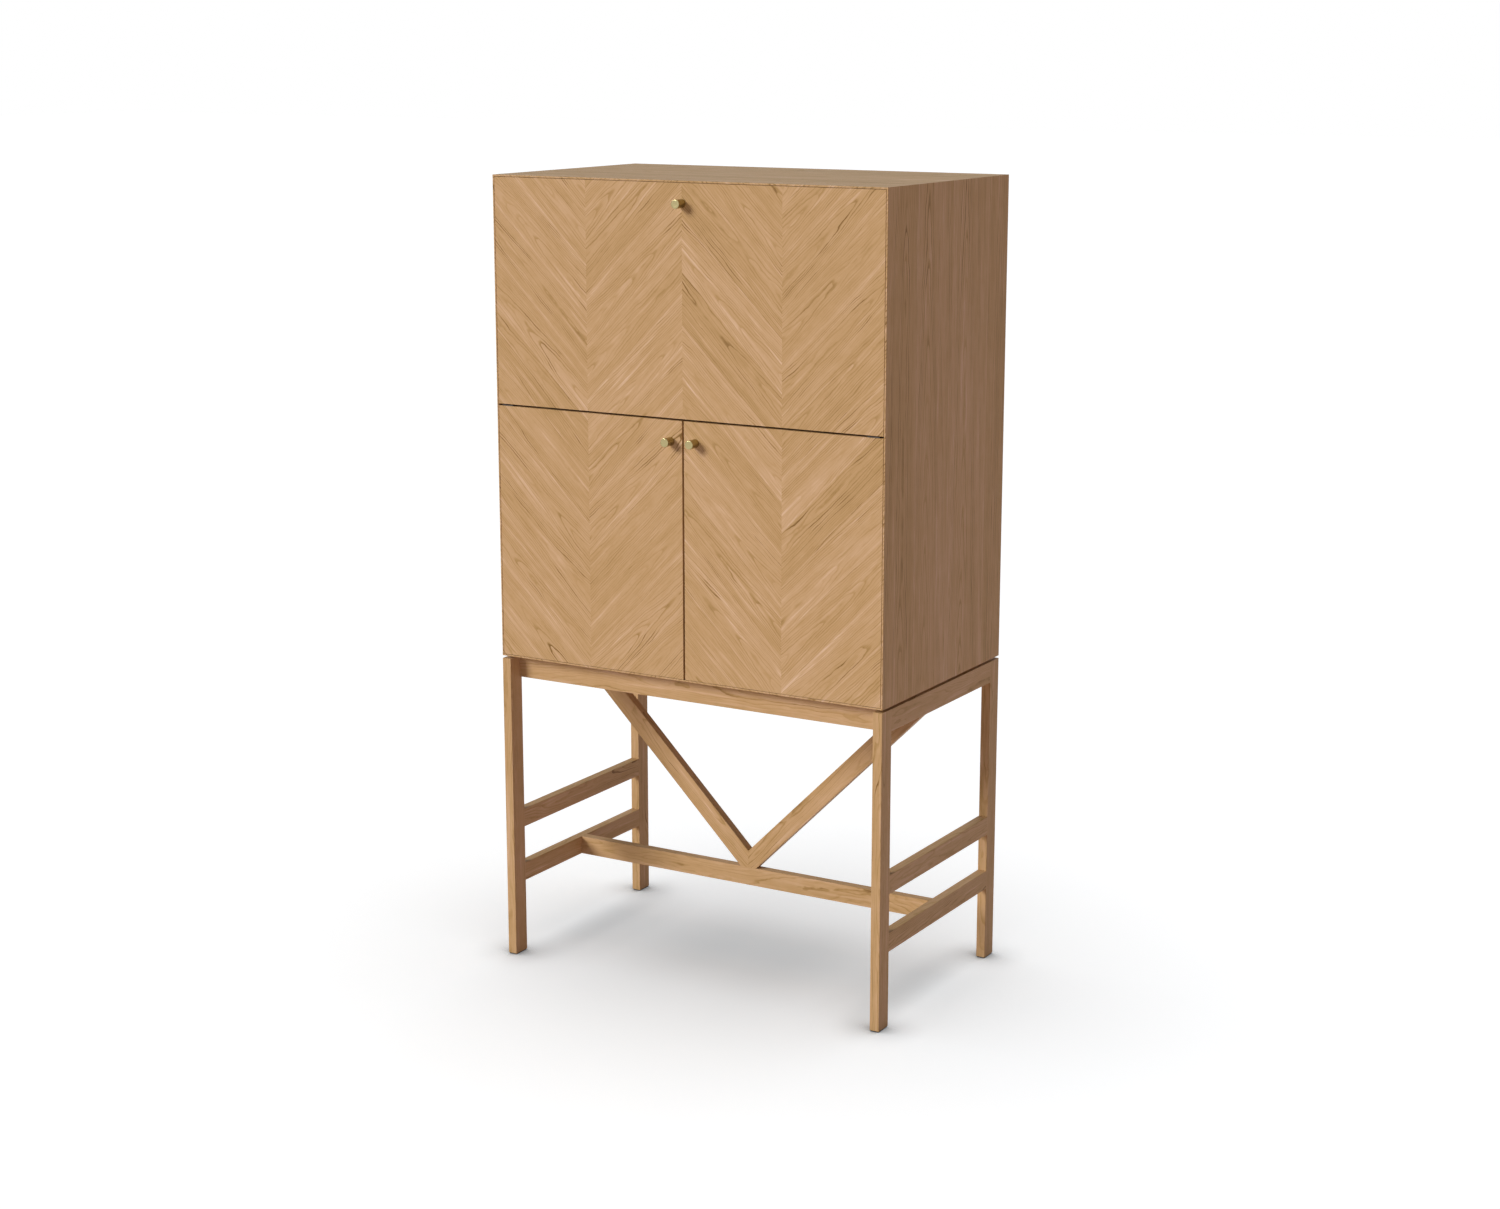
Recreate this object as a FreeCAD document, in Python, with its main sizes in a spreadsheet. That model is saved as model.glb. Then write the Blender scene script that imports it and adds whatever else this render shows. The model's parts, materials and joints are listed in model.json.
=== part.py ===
import FreeCAD, Part
import os
import re
from collections import defaultdict

# Bar cabinet with a fold-out shelf: a veneered case with a drop flap above two doors,
# carried by an open stand with a V of braces in its middle plane.
# X runs across the width, +Y points to the back, +Z is up and the floor is Z = 0.
# Pieces are drawn on the right-hand side (+X) and mirrored to the left.

# Driving sizes in millimetres, angles in degrees
SIZES = {
    # Whole cabinet
    "cabinet_width": 800,
    "cabinet_depth": 470,
    "case_height": 888,
    # Allowances
    "overrun": 1,
    "fit_clearance": 0.05,
    "side_play": 0.3,
    "swing_play": 0.5,
    "swing_clearance": 0.9,
    "magnet_gap": 0.4,
    # Stand
    "stand_height": 583,
    "stock_thickness": 18,
    "stock_width": 35,
    "upper_rail_height": 40,
    "middle_rail_top": 282,
    "lower_rail_top": 175,
    "cross_rail_setback": 29,
    "brace_rise": 8,
    "brace_end_drop": 18,
    "tenon_thickness": 8,
    "tenon_width": 14,
    "tenon_depth": 14,
    "cross_tenon_setback": 2,
    "high_tenon_share": 0.25,
    "low_tenon_share": 0.75,
    "brace_dowel_radius": 3,
    "brace_dowel_depth": 12,
    "glide_thickness": 2,
    "glide_inset": 1.5,
    # Spacers and bolts between stand and case
    "case_gap": 5,
    "spacer_radius": 8,
    "spacer_inset": 150,
    "bolt_radius": 3,
    "bolt_head_radius": 5,
    "bolt_head_height": 6,
    "bolt_head_recess": 2,
    "bolt_engagement": 12,
    "insert_radius": 5,
    "insert_depth": 14,
    # Countersunk wood screws of the fittings
    "screw_radius": 1.5,
    "screw_head_radius": 3,
    "screw_length": 12,
    # Case
    "panel_thickness": 19,
    "lip_width": 3,
    "back_panel_thickness": 8,
    "back_lip": 9,
    "spline_thickness": 4,
    "spline_width": 16,
    "spline_stop": 10,
    "back_screw_length": 22,
    "shelf_thickness": 19,
    "dowel_radius": 4,
    "dowel_depth": 12,
    # Loose shelf on pins
    "loose_shelf_height": 223,
    "loose_shelf_thickness": 18,
    "loose_shelf_setback": 40,
    "loose_shelf_gap": 1,
    "shelf_pin_radius": 2.5,
    "shelf_pin_depth": 8,
    "shelf_pin_reach": 7,
    "shelf_pin_inset": 50,
    "pin_hole_pitch": 32,
    # Flap and doors
    "front_thickness": 18,
    "front_arris": 0.4,
    "edge_gap": 0.65,
    "flap_height": 409.85,
    "flap_seam": 3.5,
    "door_seam": 3.5,
    # Knobs
    "knob_radius": 8,
    "knob_projection": 22,
    "knob_bevel": 0.8,
    "flap_knob_drop": 35.35,
    "door_knob_drop": 37.3,
    "door_knob_inset": 23.5,
    "knob_screw_radius": 2,
    "knob_screw_head_radius": 4,
    "knob_screw_head_height": 2.5,
    "knob_screw_engagement": 12,
    # Flap hinges
    "flap_axis_in": 7,
    "flap_axis_up": 15,
    "flap_swing": 90,
    "hinge_inset": 120,
    "hinge_leaf_width": 26,
    "hinge_leaf_height": 28,
    "hinge_wing_width": 14,
    "hinge_wing_thickness": 2,
    "hinge_tongue_thickness": 5.4,
    "hinge_tongue_radius": 4,
    "hinge_tongue_depth": 40,
    "hinge_pin_radius": 2,
    # Slotted stays that hold the open flap
    "stay_radius": 250,
    "stud_lean": 33,
    "rivet_standoff": 12,
    "stay_width": 18,
    "stay_thickness": 3,
    "stay_slot_lead": 3,
    "stay_slot_end_play": 0.2,
    "stud_radius": 3,
    "stud_collar_radius": 5.5,
    "stud_collar_length": 3.5,
    "stud_head_radius": 6,
    "stud_head_thickness": 2,
    "stud_tail": 8,
    "rivet_radius": 3,
    "rivet_head_radius": 5,
    "rivet_head_thickness": 1.5,
    "bracket_tab_thickness": 2.5,
    "bracket_tab_radius": 10,
    "bracket_base_width": 22.5,
    "bracket_base_thickness": 2,
    "bracket_base_height": 30,
    "bracket_screw_share": 0.3,
    # Door pivots
    "door_axis_in": 4,
    "door_axis_side": 14,
    "pivot_gap": 0.4,
    "pivot_pin_radius": 2,
    "pivot_pin_engagement": 12,
    "bush_radius": 3,
    "bush_length": 13,
    "pivot_plate_thickness": 1.5,
    "pivot_plate_setback": 1,
    "pivot_plate_margin": 6,
    "pivot_plate_width": 22.8,
    "pivot_plate_depth": 59,
    "pivot_flange_height": 20,
    # Magnetic catches and their strike plates
    "catch_width": 34,
    "catch_height": 14,
    "catch_depth": 26,
    "catch_screw_share": 0.7,
    "catch_screw_depth": 10,
    "flap_catch_inset": 233,
    "door_catch_inset": 45,
    "door_catch_height": 18,
    "door_catch_drop": 1,
    "strike_thickness": 1,
    "strike_margin": 1,
}

# Places along a side, as shares of its length
SHELF_DOWEL_SHARES = (0.2, 0.5, 0.8)
BACK_SCREW_SHARES = (0.1, 0.37, 0.63, 0.9)
PIVOT_SCREW_SHARES = (0.3, 0.75)

# Spare holes for the shelf pins, in steps up or down from the used one
SPARE_PIN_HOLES = (-2, -1, 1, 2)

# Places and lengths that follow from the driving sizes
DERIVED = {
    "half_width": "cabinet_width / 2",
    "front": "-(cabinet_depth - knob_projection) / 2",
    "back": "front + cabinet_depth",
    "middle_y": "front + cabinet_depth / 2",
    "leg_inner_x": "half_width - stock_thickness",
    "leg_middle_x": "half_width - stock_thickness / 2",
    "upper_rail_bottom": "stand_height - upper_rail_height",
    "front_rail_middle_y": "front + cross_rail_setback + stock_thickness / 2",
    "back_rail_middle_y": "back - cross_rail_setback - stock_thickness / 2",
    "brace_foot_z": "lower_rail_top + brace_rise",
    "brace_end_z": "stand_height - brace_end_drop",
    "brace_angle": "atan((brace_end_z - brace_foot_z) / leg_inner_x)",
    "brace_footprint": "(stock_width / 2 / cos(brace_angle) - brace_rise) / tan(brace_angle)",
    "spacer_x": "half_width - spacer_inset",
    "bolt_seat_z": "upper_rail_bottom + bolt_head_recess + bolt_head_height",
    "screw_head_height": "screw_head_radius - screw_radius",
    "case_bottom": "stand_height + case_gap",
    "case_top": "case_bottom + case_height",
    "floor_top": "case_bottom + panel_thickness",
    "ceiling": "case_top - panel_thickness",
    "side_inner_x": "half_width - panel_thickness",
    "lip_x": "half_width - lip_width",
    "recess_bottom": "case_bottom + lip_width",
    "recess_top": "case_top - lip_width",
    "back_panel_front": "back - back_panel_thickness",
    "rebate_x": "half_width - back_lip",
    "rebate_bottom": "case_bottom + back_lip",
    "rebate_top": "case_top - back_lip",
    "mitre_angle": "atan(panel_thickness / panel_thickness)",
    "front_inner_y": "front + front_thickness",
    "front_outer_x": "lip_x - edge_gap",
    "flap_top": "recess_top - edge_gap",
    "flap_bottom": "flap_top - flap_height",
    "flap_axis_y": "front + flap_axis_in",
    "flap_axis_z": "flap_bottom + flap_axis_up",
    "flap_corner_reach": "sqrt((front_thickness - flap_axis_in) ^ 2 + flap_axis_up ^ 2)",
    "recess_back": "flap_axis_y + flap_corner_reach + swing_clearance",
    "shelf_top": "flap_axis_z + front_thickness - flap_axis_in",
    "shelf_bottom": "shelf_top - shelf_thickness",
    "loose_shelf_bottom": "floor_top + loose_shelf_height",
    "loose_shelf_front": "front + loose_shelf_setback",
    "loose_shelf_back": "back_panel_front - loose_shelf_gap",
    "shelf_pin_z": "loose_shelf_bottom - shelf_pin_radius",
    "hinge_x": "half_width - hinge_inset",
    "hinge_skin_y": "flap_axis_y - hinge_tongue_radius - swing_play",
    "stud_angle": "stud_lean * 1 deg",
    "stud_y": "flap_axis_y + stay_radius * sin(stud_angle)",
    "stud_z": "flap_axis_z + stay_radius * cos(stud_angle)",
    "rivet_y": "front_inner_y + rivet_standoff",
    "rivet_offset": "rivet_y - flap_axis_y",
    "rivet_z": "flap_axis_z + sqrt(stay_radius ^ 2 - rivet_offset ^ 2)",
    "rivet_angle": "asin(rivet_offset / stay_radius)",
    "stay_tilt": "(stud_angle + rivet_angle) / 2",
    "stay_closed": "2 * stay_radius * sin((stud_angle - rivet_angle) / 2)",
    "stay_open": "2 * stay_radius * sin((stud_angle - rivet_angle + flap_swing * 1 deg) / 2)",
    "stay_end": "stay_open + stay_slot_end_play",
    "stay_outer_x": "side_inner_x - stud_collar_length - side_play",
    "stay_inner_x": "stay_outer_x - stay_thickness",
    "tab_outer_x": "stay_inner_x - side_play",
    "tab_inner_x": "tab_outer_x - bracket_tab_thickness",
    "door_inner_x": "door_seam / 2",
    "door_bottom": "recess_bottom + edge_gap",
    "door_top": "flap_bottom - flap_seam",
    "door_axis_x": "front_outer_x - door_axis_side",
    "door_axis_y": "front + door_axis_in",
    "pivot_plate_outer_x": "door_axis_x + pivot_plate_margin",
    "pivot_plate_inner_x": "pivot_plate_outer_x - pivot_plate_width",
    "pivot_plate_front": "front + pivot_plate_setback",
    "pivot_plate_back": "pivot_plate_front + pivot_plate_depth",
    "top_plate_bottom": "door_top + pivot_gap",
    "top_plate_top": "top_plate_bottom + pivot_plate_thickness",
    "bottom_plate_bottom": "recess_bottom - pivot_plate_thickness",
    "catch_front": "front_inner_y + strike_thickness + magnet_gap",
    "flap_catch_x": "half_width - flap_catch_inset",
    "door_catch_top": "door_top - door_catch_drop",
}

# Turns that lay a rod, drawn along Z, along another axis
ROD_TURNS = {
    "x": FreeCAD.Rotation(FreeCAD.Vector(0, 1, 0), 90),
    "y": FreeCAD.Rotation(FreeCAD.Vector(1, 0, 0), -90),
    "z": FreeCAD.Rotation(),
}

doc = FreeCAD.newDocument("bar_cabinet")
sheet = doc.addObject("Spreadsheet::Sheet", "Sizes")
for row, (name, value) in enumerate(SIZES.items(), start=1):
    sheet.set("A%d" % row, name)
    sheet.set("B%d" % row, str(value))
    sheet.setAlias("B%d" % row, name)
doc.recompute()

nodes = []
sockets = defaultdict(list)
screws = defaultdict(list)


def expand(formula):
    """Write a formula of size names as an expression on the cells of the sheet."""
    def swap(match):
        word = match.group(0)
        if word in DERIVED:
            return "(" + expand(DERIVED[word]) + ")"
        if word in SIZES:
            return "Sizes." + word
        return word
    return re.sub(r"[a-z_]+", swap, formula)


def bind(item, **formulas):
    """Bind properties of an object to formulas."""
    for prop, formula in formulas.items():
        item.setExpression(prop, expand(formula))


def locate(item, x="0", y="0", z="0"):
    """Bind the position of an object to formulas."""
    for axis, formula in zip("xyz", (x, y, z)):
        item.setExpression("Placement.Base." + axis, expand(formula))


def span(low_high):
    """The length between two formulas."""
    return "(%s) - (%s)" % (low_high[1], low_high[0])


def around(middle, width):
    """A range of the given width, centred on the middle."""
    return ("%s - (%s) / 2" % (middle, width), "%s + (%s) / 2" % (middle, width))


def across(half):
    """A range that reaches the same distance to the left and to the right."""
    return ("-(%s)" % half, half)


def box(x, y, z):
    """A block between two formulas along each axis."""
    block = doc.addObject("Part::Box", "Block")
    bind(block, Length=span(x), Width=span(y), Height=span(z))
    locate(block, x[0], y[0], z[0])
    return block


def ranged_axis(places):
    """The one axis whose place is given as a range."""
    return next(axis for axis, place in places.items() if isinstance(place, tuple))


def turned(kind, places, **radii):
    """A turned solid that runs along the axis that is given as a range."""
    along = ranged_axis(places)
    solid = doc.addObject(kind, "Turned")
    solid.Placement = FreeCAD.Placement(FreeCAD.Vector(), ROD_TURNS[along])
    bind(solid, Height=span(places[along]), **radii)
    locate(solid, **{**places, along: places[along][0]})
    return solid


def rod(radius, x, y, z):
    """A round rod along the axis that is given as a range."""
    return turned("Part::Cylinder", {"x": x, "y": y, "z": z}, Radius=radius)


def taper(low_radius, high_radius, x, y, z):
    """A round taper along the axis that is given as a range."""
    return turned("Part::Cone", {"x": x, "y": y, "z": z}, Radius1=low_radius, Radius2=high_radius)


def wood_screw(x, y, z, head):
    """A countersunk screw along the axis given as a range, its head at the low or high end."""
    places = {"x": x, "y": y, "z": z}
    along = ranged_axis(places)
    low, high = places[along]
    if head == "low":
        radii = ("screw_head_radius", "screw_radius")
        places[along] = (low, "%s + screw_head_height" % low)
    else:
        radii = ("screw_radius", "screw_head_radius")
        places[along] = ("%s - screw_head_height" % high, high)
    return fuse(rod("screw_radius", x, y, z), taper(*radii, **places))


def tilted_box(angle, length, height, x, y, z):
    """A bar whose length climbs towards +X at an angle, centred on x and z."""
    bar = doc.addObject("Part::Box", "Bar")
    bar.Placement = FreeCAD.Placement(FreeCAD.Vector(), FreeCAD.Vector(0, 1, 0), 0)
    bind(bar, Length=length, Width=span(y), Height=height)
    bar.setExpression("Placement.Rotation.Angle", expand("-(%s)" % angle))
    half_run = "(%s) / 2 * cos(%s) - (%s) / 2 * sin(%s)" % (length, angle, height, angle)
    half_rise = "(%s) / 2 * sin(%s) + (%s) / 2 * cos(%s)" % (length, angle, height, angle)
    locate(bar, "%s - (%s)" % (x, half_run), y[0], "%s - (%s)" % (z, half_rise))
    return bar


def wedge(along, low, high, start, end):
    """A block that tapers along one axis from the start section to the end section."""
    block = doc.addObject("Part::Wedge", "Wedge")
    if along == "y":
        first, second = (start["x"], end["x"]), (start["z"], end["z"])
    elif along == "z":
        block.Placement = FreeCAD.Placement(FreeCAD.Vector(), FreeCAD.Vector(1, 0, 0), 90)
        flipped = ["-(%s)" % formula for formula in reversed(start["y"])]
        first, second = (start["x"], end["x"]), (flipped, flipped)
    else:
        block.Placement = FreeCAD.Placement(FreeCAD.Vector(), FreeCAD.Vector(1, 1, 1), 240)
        first, second = (start["z"], end["z"]), (start["y"], end["y"])
    bind(block, Ymin=low, Ymax=high)
    bind(block, Xmin=first[0][0], Xmax=first[0][1], X2min=first[1][0], X2max=first[1][1])
    bind(block, Zmin=second[0][0], Zmax=second[0][1], Z2min=second[1][0], Z2max=second[1][1])
    return block


def fuse(*solids):
    """One solid from several that meet."""
    joined = doc.addObject("Part::MultiFuse", "Joined")
    joined.Shapes = list(solids)
    joined.Refine = True
    return joined


def cut(blank, *tools):
    """A blank with the tools taken out of it."""
    if not tools:
        return blank
    trimmed = doc.addObject("Part::Cut", "Trimmed")
    trimmed.Base = blank
    trimmed.Tool = tools[0] if len(tools) == 1 else fuse(*tools)
    trimmed.Refine = True
    return trimmed


def common(first, second):
    """What two solids share."""
    shared = doc.addObject("Part::Common", "Shared")
    shared.Base = first
    shared.Tool = second
    shared.Refine = True
    return shared


def mirror(solid):
    """The left-hand copy of a right-hand solid."""
    copy = doc.addObject("Part::Mirroring", "Mirrored")
    copy.Source = solid
    copy.Normal = FreeCAD.Vector(1, 0, 0)
    return copy


def both(*solids):
    """Right-hand solids with their left-hand copies."""
    return [*solids, *(mirror(solid) for solid in solids)]


def node(label, solid):
    """Label a finished sub-part and list it for export."""
    solid.Label = label
    nodes.append(solid)
    return solid


def pair(label, solid):
    """A right-hand sub-part and its mirrored left-hand one."""
    node("right_" + label, solid)
    node("left_" + label, mirror(solid))


def group(label, *solids):
    """Small pieces of one kind, kept as separate solids in one node."""
    gathered = doc.addObject("Part::Compound", "Group")
    gathered.Links = list(solids)
    node(label, gathered)


def stand_tenons():
    """Loose tenons: side rails into legs, cross rails and stretcher into side rails."""
    tenons = []
    rail_heights = {
        "upper": "stand_height - upper_rail_height * low_tenon_share",
        "middle": "middle_rail_top - stock_width / 2",
        "lower": "lower_rail_top - stock_width / 2",
    }
    thickness_x = around("leg_middle_x", "tenon_thickness")
    reach_x = around("leg_inner_x", "2 * tenon_depth")
    ends = {"front": "front + stock_width", "back": "back - stock_width"}
    for rail, height in rail_heights.items():
        for end, joint_y in ends.items():
            tenon = box(thickness_x, around(joint_y, "2 * tenon_depth"), around(height, "tenon_width"))
            sockets[rail + "_rail"].append(tenon)
            sockets[end + "_leg"].append(tenon)
            tenons.append(tenon)
    high = around("stand_height - upper_rail_height * high_tenon_share", "tenon_width")
    setback = "(stock_width + cross_tenon_setback)"
    cross_places = {
        "front_rail": ("front + " + setback, "front + %s + tenon_thickness" % setback),
        "back_rail": ("back - %s - tenon_thickness" % setback, "back - " + setback),
    }
    for rail, place in cross_places.items():
        tenon = box(reach_x, place, high)
        sockets["upper_rail"].append(tenon)
        sockets[rail] += both(tenon)
        tenons.append(tenon)
    tenon = box(reach_x, around("middle_y", "tenon_thickness"), around(rail_heights["lower"], "tenon_width"))
    sockets["lower_rail"].append(tenon)
    sockets["centre_stretcher"] += both(tenon)
    tenons.append(tenon)
    group("loose_tenons", *both(*tenons))


def brace_dowels():
    """A dowel in each end of a brace: across into the side rail, down into the stretcher."""
    head = rod("brace_dowel_radius", around("leg_inner_x", "2 * brace_dowel_depth"), "middle_y",
               "stand_height - upper_rail_height / 2")
    foot = rod("brace_dowel_radius", "brace_footprint / 2", "middle_y",
               around("lower_rail_top", "2 * brace_dowel_depth"))
    sockets["upper_rail"].append(head)
    sockets["centre_stretcher"] += both(foot)
    sockets["brace"] += [head, foot]
    group("brace_dowels", *both(head, foot))


def case_bolts():
    """Spacers that carry the case, with a bolt through each into a threaded insert."""
    spacers = []
    bolts = []
    inserts = []
    for rail, y in {"front_rail": "front_rail_middle_y", "back_rail": "back_rail_middle_y"}.items():
        bore = rod("bolt_radius + fit_clearance", "spacer_x", y,
                   ("upper_rail_bottom", "case_bottom + insert_depth"))
        counterbore = rod("bolt_head_radius + side_play", "spacer_x", y,
                          ("upper_rail_bottom - overrun", "bolt_seat_z"))
        sockets[rail] += both(bore, counterbore)
        spacers.append(cut(rod("spacer_radius", "spacer_x", y, ("stand_height", "case_bottom")), bore))
        insert = rod("insert_radius", "spacer_x", y, ("case_bottom", "case_bottom + insert_depth"))
        sockets["bottom_panel"] += both(insert)
        inserts.append(cut(insert, bore))
        head = rod("bolt_head_radius", "spacer_x", y, ("bolt_seat_z - bolt_head_height", "bolt_seat_z"))
        shank = rod("bolt_radius", "spacer_x", y, ("bolt_seat_z", "case_bottom + bolt_engagement"))
        bolts.append(fuse(head, shank))
    group("case_spacers", *both(*spacers))
    group("case_bolts", *both(*bolts))
    group("threaded_inserts", *both(*inserts))


def stand():
    """Legs, side rails, cross rails, stretcher and the V of braces."""
    leg_x = ("leg_inner_x", "half_width")
    leg_places = {"front": ("front", "front + stock_width"), "back": ("back - stock_width", "back")}
    glides = []
    for end, y in leg_places.items():
        leg = box(leg_x, y, ("glide_thickness", "stand_height"))
        pair(end + "_leg", cut(leg, *sockets[end + "_leg"]))
        glide_x = ("leg_inner_x + glide_inset", "half_width - glide_inset")
        glide_y = (y[0] + " + glide_inset", y[1] + " - glide_inset")
        glides.append(box(glide_x, glide_y, ("0", "glide_thickness")))
    group("foot_glides", *both(*glides))

    side_y = ("front + stock_width", "back - stock_width")
    rail_heights = {
        "upper": ("upper_rail_bottom", "stand_height"),
        "middle": ("middle_rail_top - stock_width", "middle_rail_top"),
        "lower": ("lower_rail_top - stock_width", "lower_rail_top"),
    }
    for rail, z in rail_heights.items():
        pair(rail + "_rail", cut(box(leg_x, side_y, z), *sockets[rail + "_rail"]))

    between_legs = across("leg_inner_x")
    for rail, middle in {"front_rail": "front_rail_middle_y", "back_rail": "back_rail_middle_y"}.items():
        blank = box(between_legs, around(middle, "stock_thickness"), rail_heights["upper"])
        node(rail, cut(blank, *sockets[rail]))

    middle_plane = around("middle_y", "stock_thickness")
    stretcher = box(between_legs, middle_plane, rail_heights["lower"])
    node("centre_stretcher", cut(stretcher, *sockets["centre_stretcher"]))
    bar = tilted_box("brace_angle", "leg_inner_x / cos(brace_angle) + 2 * stock_width", "stock_width",
                     "leg_inner_x / 2", middle_plane, "(brace_foot_z + brace_end_z) / 2")
    room = box(("0", "leg_inner_x"), middle_plane, ("lower_rail_top", "stand_height"))
    pair("brace", cut(common(bar, room), *sockets["brace"]))


def corner_splines():
    """A loose tongue across each mitred corner of the case."""
    y = ("recess_back + spline_stop", "back_panel_front - spline_stop")
    middle_x = "half_width - panel_thickness / 2"
    top = tilted_box("-(mitre_angle)", "spline_width", "spline_thickness",
                     middle_x, y, "case_top - panel_thickness / 2")
    bottom = tilted_box("mitre_angle", "spline_width", "spline_thickness",
                        middle_x, y, "case_bottom + panel_thickness / 2")
    sockets["side_panel"] += [top, bottom]
    sockets["top_panel"] += both(top)
    sockets["bottom_panel"] += both(bottom)
    group("corner_splines", *both(top, bottom))


def shelf_dowels():
    """Dowels that hold the fixed shelf between the sides."""
    dowels = []
    for share in SHELF_DOWEL_SHARES:
        y = "recess_back + (back_panel_front - recess_back) * %s" % share
        dowel = rod("dowel_radius", around("side_inner_x", "2 * dowel_depth"), y,
                    "shelf_top - shelf_thickness / 2")
        sockets["side_panel"].append(dowel)
        sockets["middle_shelf"] += both(dowel)
        dowels.append(dowel)
    group("shelf_dowels", *both(*dowels))


def back_panel():
    """The back, let into a rebate round the case and screwed to the sides."""
    for share in BACK_SCREW_SHARES:
        screw = wood_screw("(side_inner_x + rebate_x) / 2", ("back - back_screw_length", "back"),
                           "case_bottom + case_height * %s" % share, head="high")
        sockets["side_panel"].append(screw)
        screws["back_panel"].append(screw)
    sockets["back_panel"] += both(*screws["back_panel"])
    group("back_panel_screws", *both(*screws["back_panel"]))
    panel = box(across("rebate_x"), ("back_panel_front", "back"), ("rebate_bottom", "rebate_top"))
    node("back_panel", cut(panel, *sockets["back_panel"]))


def loose_shelf():
    """The lower shelf, which lies on four pins and can be moved to other holes."""
    node("adjustable_shelf", box(across("side_inner_x - loose_shelf_gap"),
                                 ("loose_shelf_front", "loose_shelf_back"),
                                 ("loose_shelf_bottom", "loose_shelf_bottom + loose_shelf_thickness")))
    pins = []
    for y in ("loose_shelf_front + shelf_pin_inset", "loose_shelf_back - shelf_pin_inset"):
        pin_x = ("side_inner_x - shelf_pin_reach", "side_inner_x + shelf_pin_depth")
        pin = rod("shelf_pin_radius", pin_x, y, "shelf_pin_z")
        sockets["side_panel"].append(pin)
        pins.append(pin)
        for step in SPARE_PIN_HOLES:
            hole_x = ("side_inner_x - overrun", "side_inner_x + shelf_pin_depth")
            hole = rod("shelf_pin_radius", hole_x, y, "shelf_pin_z + pin_hole_pitch * %s" % step)
            sockets["side_panel"].append(hole)
    group("shelf_pins", *both(*pins))


def case():
    """The mitred case with its front recess and back rebate, and the fixed shelf."""
    recess = box(across("lip_x"), ("front - overrun", "recess_back"), ("recess_bottom", "recess_top"))
    rebate = box(across("rebate_x"), ("back_panel_front", "back + overrun"), ("rebate_bottom", "rebate_top"))
    depth = ("front", "back")
    side = wedge("x", "side_inner_x", "half_width",
                 start={"y": depth, "z": ("floor_top", "ceiling")},
                 end={"y": depth, "z": ("case_bottom", "case_top")})
    wide = {"x": across("half_width"), "y": depth}
    narrow = {"x": across("side_inner_x"), "y": depth}
    top = wedge("z", "ceiling", "case_top", start=narrow, end=wide)
    bottom = wedge("z", "case_bottom", "floor_top", start=wide, end=narrow)
    pair("side_panel", cut(side, recess, rebate, *sockets["side_panel"]))
    node("top_panel", cut(top, recess, rebate, *sockets["top_panel"]))
    node("bottom_panel", cut(bottom, recess, rebate, *sockets["bottom_panel"]))
    shelf = box(across("side_inner_x"), ("recess_back", "back_panel_front"), ("shelf_bottom", "shelf_top"))
    node("middle_shelf", cut(shelf, *sockets["middle_shelf"]))
    group("fitting_screws", *screws["case"])


def front_slab(x, z):
    """A flap or door leaf with a small arris round its front face."""
    inset_x = (x[0] + " + front_arris", x[1] + " - front_arris")
    inset_z = (z[0] + " + front_arris", z[1] + " - front_arris")
    face = wedge("y", "front", "front + front_arris",
                 start={"x": inset_x, "z": inset_z}, end={"x": x, "z": z})
    return fuse(face, box(x, ("front + front_arris", "front_inner_y"), z))


def knob(x, z):
    """A turned knob, its fixing screw, and the hole for that screw through the leaf."""
    tip = "front - knob_projection"
    screw_tip = "front - knob_screw_engagement"
    bevel = taper("knob_radius - knob_bevel", "knob_radius", x, (tip, tip + " + knob_bevel"), z)
    barrel = rod("knob_radius", x, (tip + " + knob_bevel", "front"), z)
    head_y = ("front_inner_y - knob_screw_head_height", "front_inner_y")
    head = rod("knob_screw_head_radius", x, head_y, z)
    screw = fuse(rod("knob_screw_radius", x, (screw_tip, head_y[0]), z), head)
    hole = fuse(rod("knob_screw_radius + fit_clearance", x, (screw_tip, "front_inner_y"), z),
                rod("knob_screw_head_radius + fit_clearance", x, head_y, z))
    return cut(fuse(bevel, barrel), hole), screw, hole


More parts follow.
